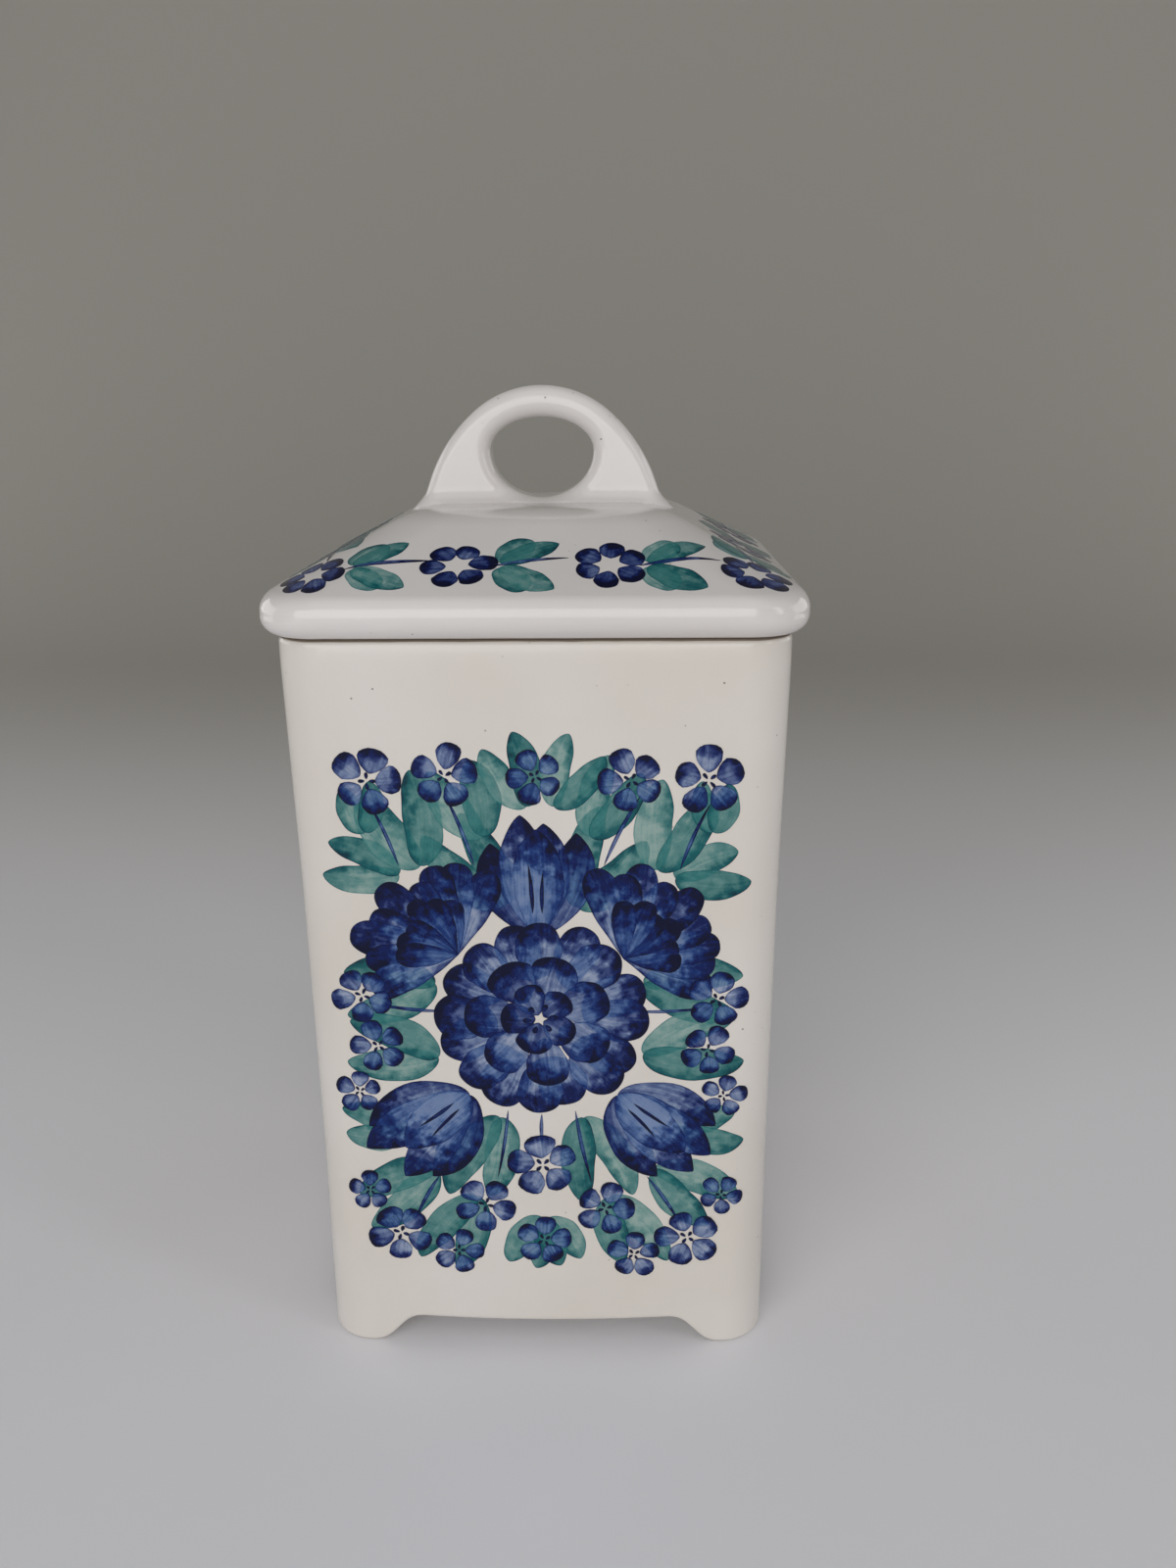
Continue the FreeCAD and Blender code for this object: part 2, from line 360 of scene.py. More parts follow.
def glaze(name, thick, thin, pits, bearing):
    """Glossy clear glaze on a pale body: slow changes of tone where it lies thick or thin, a few
    pinholes and iron specks, and the slight waviness of a dipped surface. It was wiped off the
    bearing face, between two heights in millimetres, where the bare clay is painted dark as the
    shade in the joint between lid and jar."""
    material, start = new_material(name)
    place = start.node("ShaderNodeTexCoord", {}, {}, out=3)
    tone = start.noise(place, tone_scale, detail=3.0).between(0.35, 0.68).mix(thick, thin)
    speck_cells = start.node("ShaderNodeTexVoronoi", {}, {"Vector": place, "Scale": pits})
    speck_choice = start.noise(place, pits * 0.37, detail=0.0).between(0.6, 0.63)
    speck = speck_cells.between(0.085, 0.03) * speck_choice
    tone = (speck * 0.75).mix(tone, colour(*speck_tone))
    height = start.node("ShaderNodeSeparateXYZ", {}, {"Vector": place}, out=2)
    height = height + (start.noise(place, clay_scale) - 0.5) * clay_unevenness
    bottom, top = bearing[0] * mm, bearing[1] * mm
    # Painted shade: the bare band at the bearing face is darkened to stand for the joint between
    # lid and jar.
    bare = height.between(bottom - clay_wipe, bottom) * height.between(top + clay_wipe, top)
    tone = bare.mix(tone, colour(*clay_and_joint_shade_tone))
    surface = start.node("ShaderNodeBsdfPrincipled", {}, {
        "Base Color": tone,
        "Roughness": gloss(start, place) + speck * 0.3 + bare * 0.6,
        "IOR": 1.5,
        "Normal": (waviness(start, place) - speck * 0.25).bumped(),
    })
    start.node("ShaderNodeOutputMaterial", {}, {"Surface": surface})
    return material


# The jar's rim top: bare clay painted dark as the shade under the lid's edge.
bare_rim_and_joint_shade = (rim_height - 0.5, rim_height + 20.0)
body_glaze = glaze(
    "cream_glaze", colour(216, 210, 203), colour(211, 204, 195), pits=260.0, bearing=bare_rim_and_joint_shade
)
jar.data.materials.append(body_glaze)


# Lid: a shallow square cap with a rolled edge, four slopes and a small plateau, cast in one with
# the flange that hangs inside the jar's mouth. It is hollow underneath and glazed all over.
lid_low, lid_high = (np.array(corner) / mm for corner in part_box("lid"))
lid_half = (lid_high[0] - lid_low[0]) / 2
lid_corner = 14.0
lid_edge_height = 8.2
lid_lower_rounding = 4.6
lid_shoulder_rounding = 5.0
plateau_inset = 31.5
plateau_half = lid_half - plateau_inset
plateau_height = lid_high[2]
plateau_corner = 12.0
plateau_rounding = 28.0
lid_wall = 5.0
ceiling_rounding = 14.0
flange_clearance = 1.5
flange_half = rim_half - wall - flange_clearance
flange_corner = plan_corner - wall - flange_clearance
flange_wall = 4.0
flange_bottom = lid_low[2]
flange_tip = 1.5
flange_root = 1.0
throat_edge = 2.0
least_corner = 1.5
shoulder_height = rim_height + lid_edge_height
slope_rise = (plateau_height - shoulder_height) / (lid_half - plateau_half)
throat_half = flange_half - flange_wall
slope_drop = lid_wall * math.hypot(1, slope_rise)
spring_height = shoulder_height + (lid_half - throat_half) * slope_rise - slope_drop
ceiling_height = plateau_height - lid_wall
ceiling_half = throat_half - (ceiling_height - spring_height) / slope_rise

lid_section = profile([
    (0, ceiling_height, 0, 0),
    (ceiling_half, ceiling_height, ceiling_rounding, plateau_corner),
    (throat_half, spring_height, throat_edge, least_corner),
    (throat_half, flange_bottom, flange_tip, least_corner),
    (flange_half, flange_bottom, flange_tip, flange_corner),
    (flange_half, rim_height, flange_root, flange_corner),
    (lid_half, rim_height, lid_lower_rounding, lid_corner),
    (lid_half, shoulder_height, lid_shoulder_rounding, lid_corner),
    (plateau_half, plateau_height, plateau_rounding, plateau_corner),
    (0, plateau_height, 0, 0),
], step=5.0, arc_steps=14)
lid_columns = square_columns(flat_steps=30, corner_steps=20)
lid = pole_skins("lid_cap", square_rings(lid_section, lid_columns)[None])
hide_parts("lid")
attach(lid, "lid")
# The lid's seat: bare clay painted dark as the shade in the joint with the jar's rim.
bare_seat_and_joint_shade = (rim_height - 0.1, rim_height + 0.3)
lid_glaze = glaze(
    "lid_glaze", colour(216, 212, 209), colour(212, 207, 203), pits=300.0, bearing=bare_seat_and_joint_shade
)
lid.data.materials.append(lid_glaze)


def lid_surface(x, y):
    """Height of the lid's outside above a point. The half width of the ring through the point is
    the greater of x and y on a side. On a corner it is the lesser root of
    (x - f)**2 + (y - f)**2 = r**2, where f is the ring's half flat and r its corner radius."""
    x, y = np.abs(x), np.abs(y)
    taper = (lid_corner - plateau_corner) / (lid_half - plateau_half)
    start = plateau_corner - taper * plateau_half
    keep = 1 - taper
    a = 2 * keep**2 - taper**2
    b = -4 * keep * start - 2 * keep * (x + y) - 2 * taper * start
    c = start**2 + 2 * start * (x + y) + x**2 + y**2
    round_half = (-b - np.sqrt(np.maximum(b**2 - 4 * a * c, 0))) / (2 * a)
    flat = keep * round_half - start
    half = np.where((x > flat) & (y > flat), round_half, np.maximum(x, y))
    outside = lid_section[len(lid_section) - np.argmax(lid_section[::-1, 0] >= lid_half):]
    return np.interp(-half, -outside[:, 0], outside[:, 1])


# Handle: a loop cast as a thick plate with a round crown and leaning legs, pierced by an oval
# hole. It is luted to the lid with slip, which leaves a soft fillet round its foot.
handle_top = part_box("lid_handle")[1][2] / mm
crown_radius = 25.0
crown_turn = math.radians(40.0)
flank_radius = 38.0
leg_lean = math.radians(20.0)
handle_half = 6.0
handle_edge = 3.4
most_rounding = 0.46
hole_half = 12.45
hole_rise = 7.9
hole_drop = 10.9
hole_belly = 215.6
handle_centre = 213.0
handle_sunk = 200.6
luting = 3.4
luting_spread = 2.4
upright_bar = 0.3


def handle_outline(steps=30):
    """Right half of the outline, from the top: the crown's arc, the flank's flatter arc that
    goes on from it, the leg's line, and the base below the lid's surface."""
    def arc(radius, first, last):
        turn = np.linspace(first, last, steps)
        return radius * np.stack([np.sin(turn), np.cos(turn)], axis=-1)

    crown_centre = np.array([0, handle_top - crown_radius])
    crown = crown_centre + arc(crown_radius, 0, crown_turn)
    flank = arc(flank_radius, crown_turn, math.pi / 2 - leg_lean)
    flank += crown[-1] - flank[0]
    leg_run = (flank[-1, 1] - handle_sunk) * math.tan(leg_lean)
    leg_end = np.array([flank[-1, 0] + leg_run, handle_sunk])
    share = np.linspace(0, 1, steps)[1:, None]
    leg = flank[-1] + (leg_end - flank[-1]) * share
    base = leg_end * (1 - share) + np.array([0, handle_sunk]) * share
    return np.concatenate([crown, flank[1:], leg, base])


def handle_loop(round_steps, arc_steps, face_steps):
    """Loop surface: at each angle round the middle, a rounded rectangle from the hole to the
    outline, drawn out along its front, over its outer edge, in along its back and through the
    hole. Near the lid it spreads by the square of its nearness, from none at the luting's
    height, and its foot sinks with the lid's slope. Nearly upright bars spread on their faces
    alone."""
    angle = np.linspace(0, 2 * math.pi, round_steps, endpoint=False)
    way = np.stack([np.cos(angle), np.sin(angle)], axis=-1)
    hole = np.stack([
        hole_half * way[:, 0],
        hole_belly + np.where(way[:, 1] > 0, hole_rise, hole_drop) * way[:, 1],
    ], axis=-1)
    half_line = handle_outline()
    seen_at = np.arctan2(half_line[:, 1] - handle_centre, half_line[:, 0])
    side_angle = np.arctan2(way[:, 1], np.abs(way[:, 0]))
    outline = np.stack([
        np.interp(-side_angle, -seen_at, half_line[:, 0]) * np.sign(way[:, 0]),
        np.interp(-side_angle, -seen_at, half_line[:, 1]),
    ], axis=-1)
    bar = outline - hole
    length = np.linalg.norm(bar, axis=-1)[:, None]
    bar = bar / length

    ease = np.linspace(0, math.pi / 2, arc_steps, endpoint=False)
    run = np.linspace(0, 1, face_steps, endpoint=False)
    edge = np.linspace(-1, 1, arc_steps // 2, endpoint=False)
    none, one = np.zeros_like, np.ones_like
    section = [
        (run, -one(run), none(run), -one(run)),
        (one(ease), -one(ease), np.sin(ease), -np.cos(ease)),
        (one(edge), edge, one(edge), none(edge)),
        (one(ease), one(ease), np.cos(ease), np.sin(ease)),
        (1 - run, one(run), none(run), one(run)),
        (none(ease), one(ease), -np.sin(ease), np.cos(ease)),
        (none(edge), -edge, -one(edge), none(edge)),
        (none(ease), -one(ease), -np.cos(ease), -np.sin(ease)),
    ]
    share, level, out, face = (np.concatenate(column) for column in zip(*section))

    rounding = np.minimum(handle_edge, most_rounding * length)
    along = rounding + (length - 2 * rounding) * share + rounding * out
    depth = (handle_half - rounding) * level + rounding * face
    x = hole[:, :1] + bar[:, :1] * along
    z = hole[:, 1:] + bar[:, 1:] * along
    ground = lid_surface(x, 0 * x)
    near = 1 - np.clip((z - ground) / luting, 0, 1)
    flare = luting_spread * near**2
    outward = np.where(np.abs(bar[:, :1]) > upright_bar, np.sign(bar[:, :1]), 0)
    spread_x = x + flare * np.maximum(out, 0) * outward
    depth = depth + flare * face
    z = z - near * (ground - lid_surface(spread_x, depth))
    return np.stack([spread_x, depth, z], axis=-1)


handle_grid = handle_loop(round_steps=240, arc_steps=8, face_steps=24)
handle_faces = skin_faces(*handle_grid.shape[:2], True)
handle = new_piece("handle_loop", handle_grid, handle_faces.tolist())
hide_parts("lid_handle")
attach(handle, "lid")
handle.data.materials.append(lid_glaze)


# Painted posy: blue and green colours laid on the glaze with a loaded round brush and fired in,
# one stroke to a petal and two to a leaf, leaves first. Each stroke is a film at most a quarter
# of a millimetre proud of the wall, with its underside sunk below it.
film_lift = 0.02
film_step = 0.0006
film_sunk = 0.25
hand_turn = 2.5
hand_size = 0.05
hand_load = 0.12
edge_swell = 0.05
edge_ripple = 0.03
swell_turn = 6
ripple_turn = 15
film_sharp_angle = 40.0
noise_patches = 900


def stroke(u, v, heading, length, width, bow=0.0, widest=0.5, base=0.5, tip=0.5, load=0.5):
    """One stroke from (u, v): where it heads, in degrees from level, how far it turns, where it
    is widest, how pointed its ends are, 0.5 for round and 1 for sharp, and how much colour the
    brush carried."""
    return [u, v, heading, length, width, bow, widest, base, tip, load]


def films(name, strokes, lay, layer, seed, rows=18, across=7):
    """Closed film for each stroke, in painting order, each a little unlike what was asked. The
    layer is the height of the strokes that are already there.

    The middle line turns evenly over its length. At share a of it the half width is 1 - q**2 to
    the power of that end's sharpness, where q runs from 0 at the widest place to 1 at the end.
    Across the film c runs from 1 on its left to -1 on its right."""
    random = np.random.default_rng(seed)
    table = np.array(strokes)
    count = len(table)
    hand = random.normal(0, 1, (4, count))  # for the heading, length, width and load
    table[:, 2] += hand_turn * hand[0]
    table[:, 3:5] *= 1 + hand_size * hand[1:3].T
    table[:, 9] += hand_load * hand[3]
    u, v, heading, length, width, bow, widest, base, tip, load = table.T[:, :, None, None]
    a = ((1 - np.cos(math.pi * np.linspace(0, 1, rows))) / 2)[None, :, None]
    c = np.sin(math.pi / 2 * np.linspace(1, -1, across))[None, None, :]
    angle = np.radians(heading + bow * (a - 0.5))
    step = np.diff(a, axis=1, prepend=0.0)
    middle_u = u + length * np.cumsum(np.cos(angle) * step, axis=1)
    middle_v = v + length * np.cumsum(np.sin(angle) * step, axis=1)
    q = np.where(a < widest, 1 - a / widest, (a - widest) / (1 - widest))
    half = width / 2 * np.maximum(1 - q**2, 0) ** np.where(a < widest, base, tip)
    phase = random.uniform(0, 2 * math.pi, (4, count, 1, 1))
    phase = np.where(c < 0, phase[:2], phase[2:])
    swell = edge_swell * np.sin(swell_turn * a + phase[0])
    half = half * (1 + swell + edge_ripple * np.sin(ripple_turn * a + phase[1]))
    aside = half * c
    top_u, top_v = middle_u - np.sin(angle) * aside, middle_v + np.cos(angle) * aside
    lift = film_lift + film_step * np.arange(count)[:, None, None] + layer + 0 * top_u
    rim = np.minimum(half * (1 - np.abs(c)), length * np.minimum(a, 1 - a))
    patch = random.uniform(0, noise_patches, (count, 1, 1))
    loaded_side = c * random.choice([-1.0, 1.0], (count, 1, 1))
    brush = np.stack(np.broadcast_arrays(aside, length * a, patch), axis=-1)

    def round_trip(over, under):
        return np.concatenate([over, under[:, :, ::-1]], axis=2)

    grids = round_trip(lay(top_u, top_v, lift), lay(top_u, top_v, 0 * lift - film_sunk))
    traits = {"reach": a, "rim": rim, "load": load, "side": loaded_side}
    traits = {trait: values + 0 * rim for trait, values in traits.items()} | {"brush": brush}
    traits = {trait: round_trip(values, values) for trait, values in traits.items()}
    return pole_skins(name, grids, traits, film_sharp_angle)


wall_step = 0.5
ease_steps = 17
most_wrap = 0.95
wall_heights = np.arange(0.0, rim_height, wall_step)
wall_outside = sides[: np.argmax(sides[:, 1]) + 1]
wall_halves = np.interp(wall_heights, wall_outside[:, 1], wall_outside[:, 0])
eased_halves = np.convolve(wall_halves, np.full(ease_steps, 1 / ease_steps), mode="same")


def on_front(u, v, lift):
    """Point of the front wall, u across and v up, raised by lift, with the wall's slight bends
    eased over 8 mm. Past the flat it goes round the corner by the arc whose sine is the excess
    over the radius."""
    half = np.interp(v, wall_heights, eased_halves)
    flat = half - plan_corner
    turn = np.arcsin(np.clip((np.abs(u) - flat) / plan_corner, 0, most_wrap))
    x = np.where(turn > 0, np.sign(u) * (flat + (plan_corner + lift) * np.sin(turn)), u)
    return np.stack([x, -flat - (plan_corner + lift) * np.cos(turn), v], axis=-1)


def off(u, v, heading, distance):
    """Point at a distance from (u, v) in a heading."""
    angle = math.radians(heading)
    return u + distance * math.cos(angle), v + distance * math.sin(angle)


def ring(u, v, petals, start, length, width, turn, load, tip=0.46, widest=0.62):
    """Petals set evenly round a centre, each heading straight out from a distance."""
    headings = [turn + k * 360 / petals for k in range(petals)]
    return [
        stroke(*off(u, v, heading, start), heading, length, width,
               bow=0, widest=widest, base=0.75, tip=tip, load=load)
        for heading in headings
    ]


def peony(u, v, size, turn):
    """Open bloom: outer petals of two strokes each, two more rings of one, and a dark heart."""
    outer = [
        stroke(*off(u, v, heading, 0.4 * size), heading + way * 15, 0.6 * size, 0.44 * size,
               bow=way * -22, widest=0.62, base=0.7, tip=0.45, load=0.5)
        for heading in np.arange(8) * 45.0 + turn for way in (1, -1)
    ]
    middle = ring(u, v, 7, 0.2 * size, 0.46 * size, 0.44 * size, turn + 13, load=0.6)
    inner = ring(u, v, 5, 0.04 * size, 0.32 * size, 0.3 * size, turn + 30, load=0.75)
    dots = ring(u, v, 6, 0.08 * size, 0.08 * size, 0.05 * size, turn, load=1.6)
    return outer + middle + inner + dots


def tulip(u, v, heading, size):
    """Half-open bloom seen from the side: two bowed outer petals, two within them that lean
    apart, one across their middle, and two dark lines up it."""
    outer = [
        stroke(u, v, heading + way * 26, 0.95 * size, 0.36 * size,
               bow=way * -48, widest=0.55, base=0.6, tip=0.85, load=0.7)
        for way in (1, -1)
    ]
    inner = [
        stroke(u, v, heading + way * 8, size, 0.38 * size,
               bow=way * -14, widest=0.58, base=0.6, tip=0.8, load=0.3)
        for way in (-1, 1)
    ]
    front = stroke(u, v, heading, 0.82 * size, 0.4 * size,
                   bow=5, widest=0.5, base=0.6, tip=0.7, load=0.1)
    lines = [
        stroke(*off(u, v, heading + way * 14, 0.16 * size), heading + way * 4, 0.4 * size,
               0.035 * size, bow=way * 8, widest=0.4, base=0.9, tip=0.9, load=1.6)
        for way in (1, -1)
    ]
    return outer + inner + [front] + lines


def carnation(u, v, heading, size):
    """Fan of narrow petals, widest near their ragged ends, under a shorter, darker fan."""
    def fan(petals, spread, length, width, load):
        angles = np.linspace(-spread, spread, petals)
        lengths = [length * (1 - 0.06 * (k % 2)) for k in range(petals)]
        foot = off(u, v, heading, 0.12 * size)
        return [
            stroke(*foot, heading + angle, reach, width,
                   bow=0.12 * angle, widest=0.74, base=1.1, tip=0.4, load=load)
            for angle, reach in zip(angles, lengths)
        ]

    long_fan = fan(9, 66, 0.84 * size, 0.3 * size, load=0.4)
    return long_fan + fan(6, 44, 0.55 * size, 0.22 * size, load=0.8)


def blossom(u, v, size, turn):
    """Small five-petalled flower with a bare middle dotted dark."""
    petals = ring(u, v, 5, 0.12 * size, 0.41 * size, 0.4 * size, turn, load=0.5, tip=0.42)
    dots = ring(u, v, 4, 0.03 * size, 0.1 * size, 0.055 * size, turn + 20, load=1.6)
    return petals + dots


def leaf(u, v, heading, length, width):
    """Broad leaf: two strokes that bow apart from the same foot and meet at the tip."""
    return [
        stroke(u, v, heading + way * 14, length, 0.6 * width,
               bow=way * -34, widest=0.46, base=0.5, tip=0.62, load=load)
        for way, load in ((1, 0.45), (-1, 0.8))
    ]


# Where each is painted, in millimetres on the front, across and up. Leaves and stems go on with
# their heading, length and width or bow, tulips and carnations with heading and size, and
# blossoms with size and turn.
leaves = [
    (-8, 118, 122, 24, 14), (9, 118, 60, 24, 14), (-31, 126, 168, 17, 12), (31, 125, 10, 17, 12),
    (-26, 128, 112, 22, 15), (27, 127, 70, 22, 15), (-12, 135, 112, 19, 13), (12, 135, 64, 19, 13),
    (-24, 99, 186, 22, 14), (24, 99, -8, 22, 14), (-24, 80, 172, 22, 14), (24, 81, 10, 22, 14),
    (-10, 64, 254, 24, 15), (10, 64, 287, 24, 15), (-32, 60, 172, 16, 12), (32, 60, 6, 16, 12),
    (-26, 50, 214, 22, 14), (27, 50, -36, 22, 14), (-16, 42, 240, 21, 14), (16, 42, 296, 21, 14),
    (-2, 142, 112, 17, 12), (4, 142, 62, 16, 11), (0, 36, 250, 15, 13), (1, 36, 296, 14, 12),
    (-38, 136, 98, 12, 10), (39, 136, 84, 12, 10),
]
stems = [
    (-14, 128, 112, 19, 10), (15, 128, 66, 19, -10), (-22, 92, 176, 18, -12), (22, 92, 2, 18, 12),
    (-8, 66, 262, 20, -8), (8, 66, 280, 20, 8), (-25, 48, 240, 16, 12), (25, 48, 300, 16, -12),
    (0, 65, 268, 9, 6), (-31, 128, 112, 18, 10), (32, 127, 70, 18, -10),
]
tulips = [(0, 112, 91, 28), (-17, 70, 222, 27), (18, 70, 317, 27)]
carnations = [(-16, 104, 138, 27), (17, 103, 43, 27)]
blossoms = [
    (-20, 149, 14, 10), (21, 148, 14, 40), (-37, 148, 15, 70), (38, 148, 15, 20),
    (-41, 96, 13.5, 50), (41, 95, 13.5, 5), (-38, 83, 12.5, 33), (39, 82, 12.5, 60),
    (-43, 71, 10.5, 15), (43, 70, 10.5, 80), (0, 51, 16, 25), (-14, 40, 14, 55),
    (15, 39, 14, 0), (0, 30, 13, 10), (-35, 32, 15, 50), (35, 31, 15, 35), (-21, 27, 12, 70),
    (22, 26, 12, 15), (-42, 44, 10, 20), (43, 43, 10, 60), (0, 149, 12, 40),
]
stem_width = 0.9
green_strokes = [mark for placing in leaves for mark in leaf(*placing)]
stem_strokes = [
    stroke(u, v, heading, length, stem_width, bow=bow, widest=0.4, base=0.8, tip=0.8, load=0.7)
    for u, v, heading, length, bow in stems
]
bloom_strokes = [mark for placing in tulips for mark in tulip(*placing)]
bloom_strokes += [mark for placing in carnations for mark in carnation(*placing)]
bloom_strokes += peony(0, 90, size=25, turn=8)
small_strokes = [mark for placing in blossoms for mark in blossom(*placing)]


def brush_colour(name, stops, cover, tip_dark, streaks):
    """Film of brushed colour: deeper at the tip, where the brush was loaded, down its loaded
    side and along the rim, where colour gathers, streaked by the hairs, mottled, and thin enough
    to see through. Cover is its opacity where it is thin and where it is deep."""
    material, start = new_material(name)
    place = start.node("ShaderNodeTexCoord", {}, {}, out=3)
    reach, rim, load, side = (
        start.node("ShaderNodeAttribute", {"attribute_name": trait}, {}, out=2)
        for trait in ("reach", "rim", "load", "side")
    )
    brush = start.node("ShaderNodeAttribute", {"attribute_name": "brush"}, {}, out=1)
    hairs = start.noise(brush, 1.0, stretch=(1.7, 0.12, 1.0)) - 0.5
    mottle = start.noise(brush, 0.42) - 0.5
    grain = start.noise(brush, 2.0, roughness=0.6) - 0.5
    uneven = hairs * streaks + mottle * 0.45 + grain * 0.2
    gathered = rim.between(0.4, 0.0) * 0.2
    tip = (reach + mottle * 0.6).between(0.45, 1.0) * tip_dark
    loaded = (side + mottle * 0.8).between(0.2, 1.0) * 0.3
    foot = reach.between(0.2, 0.0) * 0.15
    depth = load * 0.4 + gathered + tip + loaded + foot + uneven
    tone = start.node("ShaderNodeValToRGB", {"stops": stops}, {"Fac": depth})
    veil = start.node("ShaderNodeMapRange", {}, {
        "Value": depth, "From Min": 0.0, "From Max": 0.7, "To Min": cover[0], "To Max": cover[1],
    })
    surface = start.node("ShaderNodeBsdfPrincipled", {}, {
        "Base Color": tone,
        "Roughness": gloss(start, place),
        "IOR": 1.35,
        "Alpha": veil,
        "Normal": waviness(start, place).bumped(),
    })
    start.node("ShaderNodeOutputMaterial", {}, {"Surface": surface})
    return material


def shades(*rows):
    """Ramp stops from (position, red, green, blue) rows."""
    return [(position, colour(*channels)[:3]) for position, *channels in rows]


blue_shades = shades(
    (0.0, 140, 162, 202), (0.18, 86, 116, 168), (0.4, 26, 58, 122), (0.64, 3, 24, 84),
    (0.9, 0, 4, 40),
)
green_shades = shades(
    (0.0, 130, 176, 170), (0.28, 66, 136, 134), (0.58, 16, 94, 98), (0.95, 0, 48, 62)
)
blue_brush = brush_colour("blue_brush", blue_shades, (0.5, 0.98), tip_dark=0.6, streaks=0.55)
green_brush = brush_colour("green_brush", green_shades, (0.5, 0.95), tip_dark=0.2, streaks=0.35)

for name, strokes, paint, layer, seed, fineness in (
    ("posy_leaves", green_strokes, green_brush, 0.0, 11, (24, 9)),
    ("posy_stems", stem_strokes, blue_brush, 0.03, 10, (14, 3)),
    ("posy_blooms", bloom_strokes, blue_brush, 0.04, 11, (24, 9)),
    ("posy_blossoms", small_strokes, blue_brush, 0.1, 13, (10, 5)),
):
    piece = films(name, strokes, on_front, layer, seed, *fineness)
    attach(piece, "jar")
    piece.data.materials.append(paint)


# Lid border: the same two colours in a common running border round the slopes, a six-petalled
# flower on each corner and two between, and three pairs of leaves on a thin stem.
garland_half = 47.6
slope_angle = math.atan(slope_rise)
flower_pitch = 16.4
leaf_pitch = 31.8
border_seed = 20


def on_lid(side):
    """Way of laying strokes on that side of the lid: u runs along it and v up the slope."""
    def lay(u, v, lift):
        turn = side * math.pi / 2
        out = v * math.cos(slope_angle) - garland_half
        x = u * math.cos(turn) - out * math.sin(turn)
        y = u * math.sin(turn) + out * math.cos(turn)
        z = lid_surface(u, out) + lift / math.cos(slope_angle)
        return np.stack([x, y, z], axis=-1)

    return lay


def border_flower(u, turn):
    """Six round, dark petals about a bare middle."""
    return ring(u, 0, 6, start=2.4, length=5.9, width=5.7, turn=turn,
                load=1.15, tip=0.5, widest=0.58)


def border_leaves(u):
    """A leaf above the stem and one below it, both sweeping the same way, each of a round
    stroke and a pointed one that covers most of it."""
    return [
        mark
        for way in (1, -1)
        for mark in (
            stroke(u - 7, way * 0.8, way * 50, length=10.5, width=7.4,
                   bow=way * -36, widest=0.52, base=0.5, tip=0.5, load=0.5),
            stroke(u - 7, way * 0.6, way * 33, length=14.5, width=7.2,
                   bow=way * -14, widest=0.5, base=0.5, tip=0.75, load=0.75),
        )
    ]


def border_stem(u):
    """Thin, slightly bowed stem that runs on past its pair of leaves."""
    return stroke(u - 9, -0.4, heading=8, length=18, width=1.2,
                  bow=-16, widest=0.4, base=0.8, tip=0.8, load=0.9)


for side in range(4):
    leaf_strokes, flower_strokes = [], []
    for u in (-leaf_pitch, 0, leaf_pitch):
        leaf_strokes += border_leaves(u)
        flower_strokes.append(border_stem(u))
    flower_turns = 8 + 9 * side, 25 + 7 * side, 15
    for u, turn in zip((-flower_pitch, flower_pitch, garland_half), flower_turns):
        flower_strokes += border_flower(u, turn)
    for name, strokes, paint, layer in (
        ("border_leaves", leaf_strokes, green_brush, 0.03),
        ("border_flowers", flower_strokes, blue_brush, 0.05),
    ):
        piece = films(f"{name}_{side}", strokes, on_lid(side), layer, border_seed + side)
        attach(piece, "lid")
        piece.data.materials.append(paint)


# Setting: a pale matt floor, graded darker where it sweeps up behind the jar. A wide soft lamp
# lights the front, with weaker ones to the right, overhead and behind, and the camera is where
# the photographer stood.
def sweep(depth_in_front, depth_behind, half_width, top, radius):
    """Sheet whose section runs along the floor and turns up through an arc of the radius."""
    turn = np.linspace(0, math.pi / 2, 24)
    bend = depth_behind + radius * np.sin(turn)
    y = np.concatenate([[-depth_in_front], bend, [depth_behind + radius]])
    z = np.concatenate([[0.0], radius - radius * np.cos(turn), [top]])
    x = np.array([-half_width, half_width])
    grid = np.stack(np.broadcast_arrays(x[None, :], y[:, None], z[:, None]), axis=-1)
    rows = np.arange(len(y) - 1)
    faces = np.stack([2 * rows, 2 * rows + 1, 2 * rows + 3, 2 * rows + 2], axis=-1)
    return new_piece("floor_sweep", grid, faces.tolist())


floor = sweep(
    depth_in_front=8000.0, depth_behind=800.0, half_width=9000.0, top=6000.0, radius=800.0
)
floor_paint, start = new_material("floor_paint")
place = start.node("ShaderNodeTexCoord", {}, {}, out=3)
depth = start.node("ShaderNodeSeparateXYZ", {}, {"Vector": place}, out=1)
paper = depth.between(-0.1, 0.8).mix(colour(236, 235, 238), colour(166, 162, 154))
matt = start.node("ShaderNodeBsdfPrincipled", {}, {"Base Color": paper, "Roughness": 0.75})
start.node("ShaderNodeOutputMaterial", {}, {"Surface": matt})
floor.data.materials.append(floor_paint)


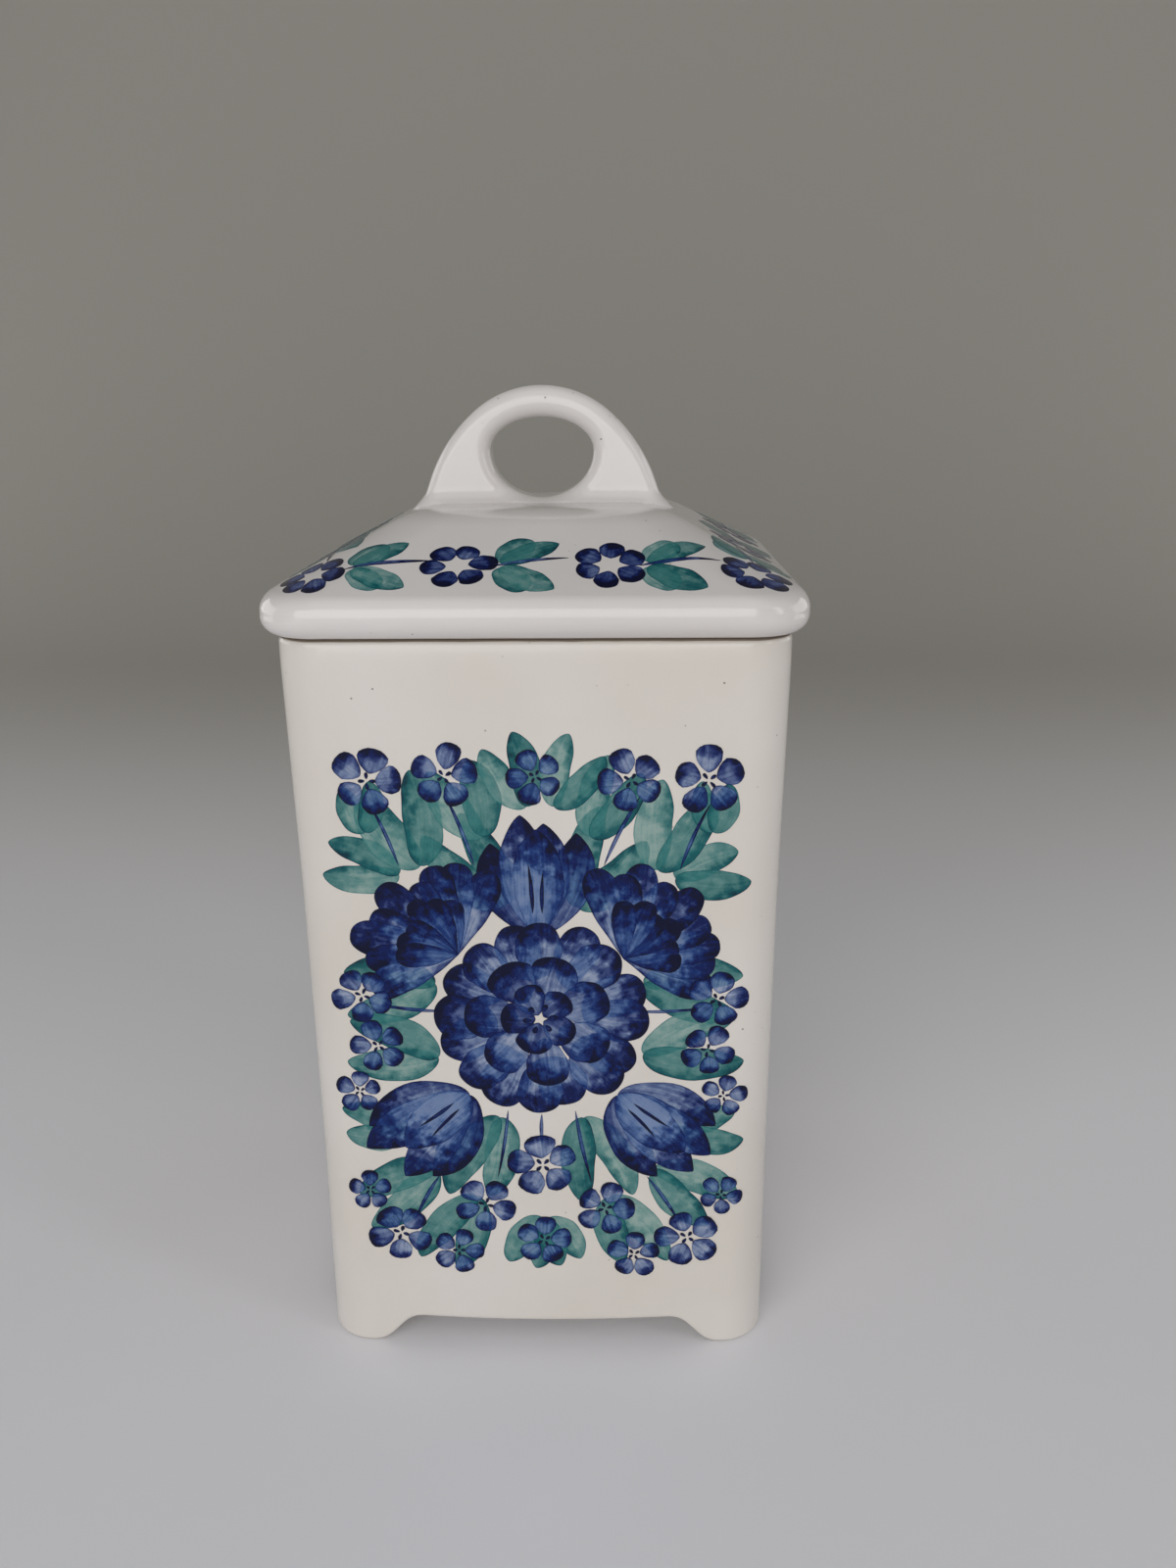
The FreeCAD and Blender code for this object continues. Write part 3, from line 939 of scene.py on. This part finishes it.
def soft_lamp(name, position, target, width, height, power):
    """Area lamp that faces its target, in metres and watts."""
    lamp = bpy.data.lights.new(name, "AREA")
    lamp.shape = "RECTANGLE"
    lamp.size = width
    lamp.size_y = height
    lamp.energy = power
    holder = bpy.data.objects.new(name, lamp)
    holder.location = position
    aim = Vector(target) - Vector(position)
    holder.rotation_euler = aim.to_track_quat("-Z", "Y").to_euler()
    bpy.context.scene.collection.objects.link(holder)


jar_middle = (0, 0, 0.12)
soft_lamp("lamp_front", (-0.5, -2.0, 0.55), jar_middle, 2.4, 1.8, 32.0)
soft_lamp("lamp_side", (1.5, -0.9, 0.7), jar_middle, 0.35, 1.2, 3.0)
soft_lamp("lamp_over", (0.2, -0.8, 1.6), (0, 0, 0.1), 1.6, 1.4, 3.5)
soft_lamp("lamp_back_left", (-1.5, 0.6, 0.4), jar_middle, 1.4, 1.0, 6.0)
soft_lamp("lamp_back_right", (1.5, 0.6, 0.4), jar_middle, 1.4, 1.0, 6.0)

world = bpy.data.worlds.new("room")
world.use_nodes = True
sky = world.node_tree.nodes["Background"].inputs
sky["Color"].default_value = colour(236, 238, 242)
sky["Strength"].default_value = 0.22
bpy.context.scene.world = world
bpy.context.scene.view_settings.view_transform = "Standard"

camera_place = Vector((16.96, -334.45, 231.53)) * mm
camera_turn = -0.0193
camera_tilt = 0.2937
camera_roll = -0.0074
camera_focal_pixels = 1357.9
picture_height_pixels = 1600
film_height = 36.0
forward = Vector((
    math.sin(camera_turn) * math.cos(camera_tilt),
    math.cos(camera_turn) * math.cos(camera_tilt),
    -math.sin(camera_tilt),
))
level_right = Vector((math.cos(camera_turn), -math.sin(camera_turn), 0))
level_up = level_right.cross(forward)
right = level_right * math.cos(camera_roll) + level_up * math.sin(camera_roll)
up = level_up * math.cos(camera_roll) - level_right * math.sin(camera_roll)
lens = bpy.data.cameras.new("camera")
lens.sensor_fit = "VERTICAL"
lens.sensor_height = film_height
lens.lens = camera_focal_pixels / picture_height_pixels * film_height
lens.clip_start = 0.01
camera = bpy.data.objects.new("camera", lens)
camera_axes = Matrix((right, up, -forward)).transposed().to_4x4()
camera.matrix_world = Matrix.Translation(camera_place) @ camera_axes
bpy.context.scene.collection.objects.link(camera)
bpy.context.scene.camera = camera
